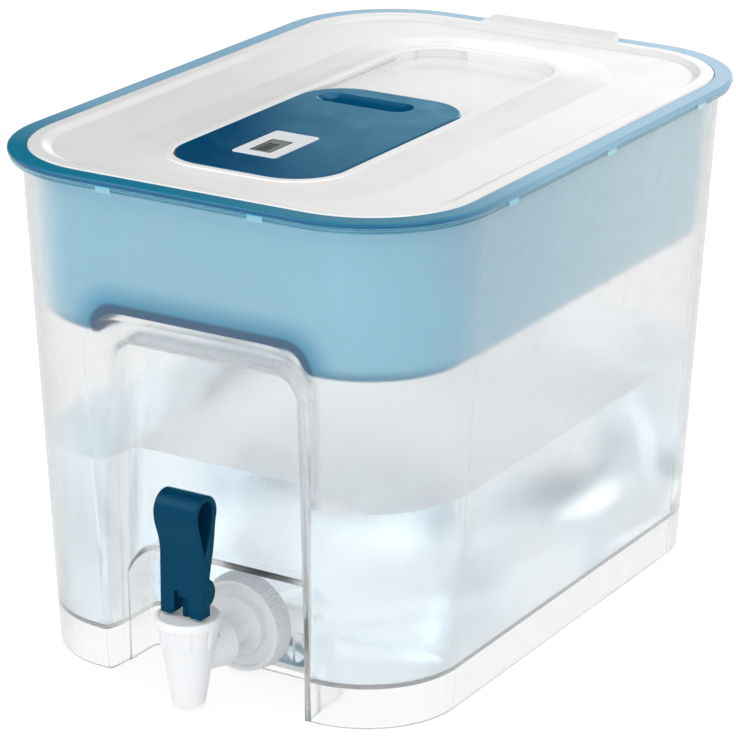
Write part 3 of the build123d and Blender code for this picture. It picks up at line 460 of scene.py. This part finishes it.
# ------------------------------------------------------------------ water
def make_water():
    """Water in the tank: a block cut by the tank's own walls, a hair smaller than the space."""
    def block(bm):
        bmesh.ops.create_cube(bm, size=2.0)
        for vertex in bm.verts:
            z = WATER_LEVEL if vertex.co.z > 0 else WATER_BOTTOM
            grow = z * TANK_LEAN - TANK_WALL / 2
            vertex.co = (vertex.co.x * (TANK_FOOT[0] + grow), vertex.co.y * (TANK_FOOT[1] + grow) + TANK_Y, z)

    def plug(bm):
        radius, length = HOLE_PLUG
        place = Matrix.Translation(HOLE_PLACE) @ Matrix.Rotation(pi / 2, 4, "X")
        bmesh.ops.create_cone(bm, cap_ends=True, segments=48, radius1=radius, radius2=radius,
                              depth=length, matrix=place)

    obj = mesh_object("water", block)
    cut(obj, mesh_object("plug", plug))
    cut(obj, welded_copy(nodes["tank"], "tank_cutter"))
    bm = bmesh.new()
    bm.from_mesh(obj.data)
    for group in loose_parts(bm):
        if min(vertex.co.z for vertex in group) < SUMP_FLOOR - MM:
            bmesh.ops.delete(bm, geom=group, context="VERTS")
    bmesh.ops.remove_doubles(bm, verts=bm.verts, dist=WATER_WELD)
    bmesh.ops.recalc_face_normals(bm, faces=bm.faces)
    bm.normal_update()
    for vertex in bm.verts:
        vertex.co -= vertex.normal * WATER_GAP
    for face in bm.faces:
        face.smooth = True
    bm.to_mesh(obj.data)
    bm.free()
    obj.data.set_sharp_from_angle(angle=radians(30))
    weighted = obj.modifiers.new("normals", "WEIGHTED_NORMAL")
    weighted.mode = "FACE_AREA"
    weighted.weight = 100
    weighted.keep_sharp = True
    apply_modifiers(obj)
    return obj


water = make_water()
water.data.materials.clear()
water.data.materials.append(MATERIALS["water"])
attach(water, "root")

# ------------------------------------------------------------------ tank wall
wall = link(bpy.data.objects.new("tank_wall", nodes["tank"].data.copy()))
for vertex in wall.data.vertices:
    if vertex.co.z > LIP_TOP - LIP_GAP:
        vertex.co.z -= LIP_GAP
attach(wall, "root")
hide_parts("tank")

# ------------------------------------------------------------------ floor
corners = [(x * FLOOR_HALF, y * FLOOR_HALF, -FLOOR_DROP) for x, y in ((-1, -1), (1, -1), (1, 1), (-1, 1))]
floor_mesh = bpy.data.meshes.new("floor")
floor_mesh.from_pydata(corners, [], [(0, 1, 2, 3)])
floor = link(bpy.data.objects.new("floor", floor_mesh))
mat, tree, out = new_material("floor_pale")
rays = node(tree, "LightPath").outputs
lit = node(tree, "BsdfDiffuse", {"Color": grey(0.8)})
# the camera sees it nearly white, with the object's shadow, and clear or glossy pieces see it plain white
shadowed = node(tree, "BsdfDiffuse", {"Color": grey(0.3)})
glow = node(tree, "Emission", {"Color": grey(1), "Strength": 0.78})
to_camera = node(tree, "AddShader", {0: shadowed.outputs[0], 1: glow.outputs[0]})
to_clear = node(tree, "Emission", {"Color": grey(1), "Strength": 0.98})
both = mixed_shader(tree, rays["Is Camera Ray"], lit, to_camera)
both = mixed_shader(tree, most(tree, rays["Is Glossy Ray"], rays["Is Transmission Ray"]), both, to_clear)
tree.links.new(both.outputs[0], out.inputs["Surface"])
floor_mesh.materials.append(mat)

# ------------------------------------------------------------------ world
world = bpy.data.worlds.new("studio")
bpy.context.scene.world = world
world.cycles.sampling_method = "NONE"  # otherwise the world is sampled as a lamp, with no ray's kind to read
tree = new_tree(world)
rays = node(tree, "LightPath").outputs
way = node(tree, "SeparateXYZ", {"Vector": node(tree, "TexCoord").outputs["Generated"]}).outputs
heading = maths(tree, "ARCTAN2", maths(tree, "MULTIPLY", way["X"], -1.0), way["Y"])
height = maths(tree, "ARCSINE", way["Z"])

# mirrored rays see a dark part of the studio behind the object, with a pale screen standing low in it
mirror_ray = product(tree, rays["Is Glossy Ray"], rays["Is Reflection Ray"])
behind = product(tree, rising(tree, heading, DARK_RIGHT), falling(tree, heading, DARK_LEFT),
                 falling(tree, height, DARK_TOP))
screen = product(tree, falling(tree, heading, SCREEN_LEFT), falling(tree, height, SCREEN_TOP))
dark = product(tree, behind, maths(tree, "SUBTRACT", 1.0, screen), mirror_ray)
bright = ranged(tree, heading, *BRIGHT_LEVELS, *BRIGHT_SIDE)
strength = product(tree, ranged(tree, dark, 1.0, DARK_LEVEL, 0.0, 1.0),
                   mixed_value(tree, product(tree, mirror_ray, behind), 1.0, bright),
                   ranged(tree, rays["Is Transmission Ray"], 1.0, THROUGH_LEVEL, 0.0, 1.0))
direct = node(tree, "Background", {"Color": grey(1), "Strength": strength})
ambient = node(tree, "Background", {"Color": grey(1), "Strength": AMBIENT_LEVEL})
seen = most(tree, rays["Is Camera Ray"], rays["Is Transmission Ray"], rays["Is Glossy Ray"])
out = node(tree, "OutputWorld")
tree.links.new(mixed_shader(tree, seen, ambient, direct).outputs[0], out.inputs["Surface"])

# ------------------------------------------------------------------ lamps
for name, place, aim, size, power, mirrored in LAMPS:
    lamp = bpy.data.lights.new(name, "AREA")
    lamp.shape = "RECTANGLE"
    lamp.size, lamp.size_y = size
    lamp.energy = power
    obj = link(bpy.data.objects.new(name, lamp))
    obj.location = place
    obj.rotation_euler = (Vector(aim) - Vector(place)).to_track_quat("-Z", "Y").to_euler()
    obj.visible_glossy = mirrored

# ------------------------------------------------------------------ camera
back = Vector((sin(AZIMUTH) * cos(ELEVATION), -cos(AZIMUTH) * cos(ELEVATION), sin(ELEVATION)))
level = Vector((cos(AZIMUTH), sin(AZIMUTH), 0))
upright = back.cross(level)
right = level * cos(ROLL) + upright * sin(ROLL)
up = upright * cos(ROLL) - level * sin(ROLL)
camera = bpy.data.cameras.new("camera")
camera.sensor_fit = "HORIZONTAL"
camera.sensor_width = SENSOR_MM
camera.lens = SENSOR_MM * FOCAL_PX / FRAME_PX
camera.clip_end = 50
viewer = link(bpy.data.objects.new("camera", camera))
turn = Matrix((right, up, back)).transposed().to_4x4()
turn.translation = Vector(AIM) + back * DISTANCE
viewer.matrix_world = turn
bpy.context.scene.camera = viewer
bpy.context.scene.view_settings.view_transform = "Standard"
cycles = bpy.context.scene.cycles
cycles.max_bounces = cycles.transmission_bounces = cycles.glossy_bounces = 40
cycles.diffuse_bounces = 6
cycles.transparent_max_bounces = 32
